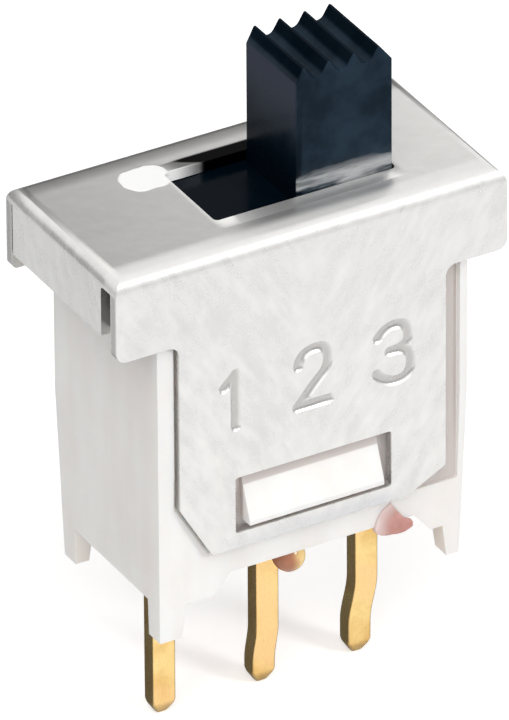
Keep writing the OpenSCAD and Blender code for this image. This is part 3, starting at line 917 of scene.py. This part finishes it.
def bendLeg(leg, i):  # aside, between two heights
    start, height = -terminals["bendStart"][i], terminals["bendHeight"][i]
    for step in range(terminals["bendSteps"] + 1):
        cutAcross(leg, start - height * step / terminals["bendSteps"])
    for vertex in leg.data.vertices:
        bent = min(max((start - vertex.co.z) / height, 0), 1)
        vertex.co.x += (tipPlace(i) - rootPlace(i)) * bent * bent * (3 - 2 * bent)


def addPad(leg, i, low, high):  # where a wing of the contact comes down
    long, wide, thick = terminals["pad"]
    inner = high.x - long if i == 0 else low.x
    pad = block("pad", (inner, -wide / 2, high.z - thick), (inner + long, wide / 2, high.z))
    roundEdges(pad, *terminals["padRound"], lambda middle, way: near(middle.z, high.z))
    combine(leg, pad, "UNION")


def addRidge(leg, top, high):  # on a neck, for the contact to rock on
    half, deep = terminals["neck"] / 2, terminals["leg"][1]
    axis = high.z - terminals["ridge"]
    neck = block("neck", (-half, -deep / 2, top - terminals["sunk"]), (half, deep / 2, axis))
    combine(leg, neck, "UNION")
    end = terminals["ridgeLength"] / 2
    combine(leg, rod("ridge", terminals["ridge"], (0, -end, axis), (0, end, axis)), "UNION")


def makeTerminal(i, node, gold):
    low, high = corners(node)
    wide, deep = terminals["leg"]
    bevelX, bevelY = terminals["tipBevel"]
    centre = i == 1
    top = high.z - (3 * terminals["ridge"] if centre else terminals["pad"][2] / 2)
    leg = block(node.replace("_", "") + "Leg", (rootPlace(i) - wide / 2, -deep / 2, low.z),
                (rootPlace(i) + wide / 2, deep / 2, top))
    bendLeg(leg, i)
    cutAcross(leg, low.z + terminals["tipHeight"])
    pick(leg, "VERT", lambda place: near(place.z, low.z))
    bpy.ops.transform.resize(value=(1 - 2 * bevelX / wide, 1 - 2 * bevelY / deep, 1),
                             center_override=(tipPlace(i), 0, low.z))
    bpy.ops.object.mode_set(mode="OBJECT")
    softenEdges(leg, *terminals["edge"])
    if centre:
        addRidge(leg, top, high)
    else:
        addPad(leg, i, low, high)
    settle(leg, "base", gold, [node])


# Resin: what was poured round the terminals, and what ran out

seal = {
    "fill": (0.8, 0.7), "fillLow": 1.2, "wallFace": -2.2, "wallLeft": 1.5, "wallTop": 3,
    "smear": [(2.08, 1.9), (2.22, 1.66), (2.4, 1.42), (2.66, 1.24), (2.62, 1.1), (2.4, 1.02),
              (2.05, 1.06), (1.8, 1.12), (1.66, 1.24), (1.7, 1.5), (1.84, 1.74)],
    "smearDepth": (-2.275, -2.1), "skin": (0.035, 0.5, 5), "smoothAngle": 80,
}


def makeSeal(resin):
    high = corners("epoxy_seal")[1]
    body = copyOfNode("epoxy_seal", "resinSeal")
    long, wide = seal["fill"]
    for i in range(3):
        fill = block("fill", (rootPlace(i) - long / 2, -wide / 2, seal["fillLow"]),
                     (rootPlace(i) + long / 2, wide / 2, high.z))
        combine(body, fill, "UNION")
    face = seal["wallFace"]
    combine(body, block("front", (seal["wallLeft"], face - beyond, 0),
                        (high.x, face, seal["wallTop"])))
    combine(body, prism("smear", seal["smear"], *seal["smearDepth"]), "UNION")
    smoothSkin(body, *seal["skin"])
    settle(body, "base", resin, ["epoxy_seal"], seal["smoothAngle"])


# Moving parts inside

contact = {"edge": (0.03, 2, 50)}
plunger = {"tipSteps": 9, "topRound": (0.05, 2)}
spring = {"wire": 0.12, "wireSides": 3, "turns": 6, "stepsPerTurn": 28, "smoothAngle": 60}


def makeContact(gold):
    strip = copyOfNode("rocker_contact", "contactStrip")
    softenEdges(strip, *contact["edge"])
    settle(strip, "rocker", gold, ["rocker_contact"])


def makePlunger(nylon):
    low, high = corners("plunger")
    middle = (low.x + high.x) / 2
    radius = (high.x - low.x) / 2
    pin = rod("plungerPin", radius, (middle, 0, low.z + radius), (middle, 0, high.z))
    pick(pin, "FACE", lambda place, normal: normal.z < -0.9)
    turns = [math.radians(90 * step / plunger["tipSteps"]) for step in range(plunger["tipSteps"])]
    for before, turn in zip(turns, turns[1:]):
        bpy.ops.mesh.extrude_region_move(TRANSFORM_OT_translate={
            "value": (0, 0, -radius * (math.sin(turn) - math.sin(before)))})
        scale = math.cos(turn) / math.cos(before)
        bpy.ops.transform.resize(value=(scale, scale, 1), center_override=(middle, 0, 0))
    bpy.ops.object.mode_set(mode="OBJECT")
    roundEdges(pin, *plunger["topRound"], lambda place, way: near(place.z, high.z))
    settle(pin, "plunger", nylon, ["plunger"])


def makeSpring(wire):
    low, high = corners("plunger_spring")
    thick = spring["wire"]
    middle = (low.x + high.x) / 2
    radius = (high.x - low.x - thick) / 2
    curve = bpy.data.curves.new("springCoil", "CURVE")
    curve.dimensions = "3D"
    curve.bevel_depth = thick / 2
    curve.bevel_resolution = spring["wireSides"]
    curve.use_fill_caps = True
    steps = spring["turns"] * spring["stepsPerTurn"]
    line = curve.splines.new("POLY")
    line.points.add(steps)
    for i, point in enumerate(line.points):
        turn = 2 * math.pi * i / spring["stepsPerTurn"]
        rise = low.z + thick / 2 + (high.z - low.z - thick) * i / steps
        point.co = (middle + radius * math.cos(turn), radius * math.sin(turn), rise, 1)
    coil = meshOfCurve("springCoil", curve)
    settle(coil, "slider", wire, ["plunger_spring"], spring["smoothAngle"])
    press = next(joint["range_m"][1] for joint in frame["record"]["behaviour"]["joints"]
                 if joint["name"] == "plunger_press")
    tall = (high.z - low.z) * metresPerMm
    1 - press / tall
    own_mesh(coil)


# Studio: floor, light and camera

studio = {
    "floorSize": 0.11, "floorSides": 96, "floorColour": (0.86, 0.86, 0.86, 1),
    "cameraLift": 0.45, "frontLift": 0.3, "behindFloor": (-0.8, 0.4),
    "nearBack": 0.13, "farBack": 0.85, "backRun": (7, 17),
    "sky": (1.0, 0.995, 0.985, 1), "ambient": 0.38, "low": 0.03, "dark": 0.26, "bright": 1.3,
    "behindSky": (-0.3, 0.5), "darkRise": (0.18, 0.4), "brightRise": (-0.1, 0.1),
    "brightFrom": 0.04, "brightBehind": 0.40, "brightLean": 0.21,
    # place, size and power
    "keyFront": ((0.126, -0.223, 0.157), 0.07, 0.31),
    "softAbove": ((-0.14, -0.14, 0.26), 0.25, 0.6),
}


def cameraAndGlossyRays(recipe):
    rays = recipe.add("LightPath").socket.node.outputs
    return Value(recipe, rays["Is Camera Ray"]), Value(recipe, rays["Is Glossy Ray"])


def makeFloor():  # pale paper, which metal sees as a card that brightens away from the piece
    clearSelection()
    bpy.ops.mesh.primitive_circle_add(vertices=studio["floorSides"],
                                      radius=studio["floorSize"] / 2, fill_type="NGON",
                                      location=(0, 0, cadBounds[0].z))
    floor = bpy.context.active_object
    floor.name = "studioFloor"
    material, recipe = newRecipe("paleFloor")
    camera, glossy = cameraAndGlossyRays(recipe)
    across, deep, up = recipe.axes(recipe.points())
    distance = (across ** 2 + deep ** 2) ** 0.5
    behind = deep.ramp(*studio["behindFloor"])
    back = distance.ramp(*studio["backRun"]).spread(studio["nearBack"], studio["farBack"])
    lift = camera * studio["cameraLift"] + glossy * studio["frontLift"]
    paper = recipe.add("BsdfDiffuse", inputs={"Color": studio["floorColour"]})
    glow = recipe.add("Emission", inputs={"Color": (1, 1, 1, 1), "Strength": lift})
    lit = recipe.add("AddShader", inputs={0: paper, 1: glow})
    card = recipe.add("Emission", inputs={"Color": (1, 1, 1, 1), "Strength": back})
    both = recipe.add("MixShader", inputs={0: glossy * behind, 1: lit, 2: card})
    recipe.add("OutputMaterial", inputs={"Surface": both})
    floor.data.materials.append(material)


def makeSky():  # even light, which metal sees as dark low down and bright above
    world = bpy.data.worlds.new("studioSky")
    bpy.context.scene.world = world
    world.use_nodes = True
    recipe = Recipe(world.node_tree)
    camera, glossy = cameraAndGlossyRays(recipe)
    across, deep, up = recipe.axes(recipe.add("TexCoord", output="Generated"))
    behind = deep.ramp(*studio["behindSky"])
    edge = studio["brightFrom"] + behind * (studio["brightBehind"] + studio["brightLean"] * across)
    mirrored = (up.ramp(*studio["darkRise"]).spread(studio["low"], studio["dark"])
                + (studio["bright"] - studio["dark"]) * (up - edge).ramp(*studio["brightRise"]))
    strength = camera + (1 - camera) * (glossy * mirrored + (1 - glossy) * studio["ambient"])
    light = recipe.add("Background", inputs={"Color": studio["sky"], "Strength": strength})
    recipe.add("OutputWorld", inputs={"Surface": light})


def addLamp(name):
    place, size, power = studio[name]
    clearSelection()
    bpy.ops.object.light_add(type="AREA", location=place)
    lamp = bpy.context.active_object
    lamp.name = name
    lamp.data.shape = "SQUARE"
    lamp.data.size = size
    lamp.data.energy = power
    lamp.rotation_euler = Vector(place).to_track_quat("Z", "Y").to_euler()


view = {
    "azimuth": 29.58, "elevation": 31.49, "roll": -0.33, "distance": 0.3143,
    "aside": 0.0000496, "above": 0.003981, "lens": 720.95, "sensor": 36, "clip": 0.01,
}


def makeCamera():
    azimuth, elevation, roll = (math.radians(view[k]) for k in ("azimuth", "elevation", "roll"))
    low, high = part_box("frame_cover")
    aim = Vector(((low.x + high.x) / 2, (low.y + high.y) / 2, high.z))
    back = Vector((-math.sin(azimuth) * math.cos(elevation),
                   -math.cos(azimuth) * math.cos(elevation), math.sin(elevation)))
    level = Vector((math.cos(azimuth), -math.sin(azimuth), 0))
    rise = back.cross(level)
    right = level * math.cos(roll) + rise * math.sin(roll)
    up = rise * math.cos(roll) - level * math.sin(roll)
    place = aim + back * view["distance"] - right * view["aside"] - up * view["above"]
    camera = bpy.data.objects.new("camera", bpy.data.cameras.new("camera"))
    bpy.context.scene.collection.objects.link(camera)
    turn = Matrix((right, up, back)).transposed().to_4x4()
    camera.matrix_world = Matrix.Translation(place) @ turn
    camera.data.lens = view["lens"]
    camera.data.sensor_width = view["sensor"]
    camera.data.clip_start = view["clip"]
    bpy.context.scene.camera = camera


makeCamera()
makeFloor()
makeSky()
addLamp("keyFront")
addLamp("softAbove")
bpy.context.scene.view_settings.view_transform = "Standard"
print("studio done")

steel = brushedSteel()
nylon = whiteNylon()
black = blackPlastic()
gold = goldPlate()
resin = redResin()
wire = springWire()
print("finishes done")

makeCover(steel)
makeCase(nylon)
makeActuator(black)
for i, node in enumerate(("terminal_left", "terminal_centre", "terminal_right")):
    makeTerminal(i, node, gold)
makeSeal(resin)
makeContact(gold)
makePlunger(nylon)
makeSpring(wire)
clearSelection()
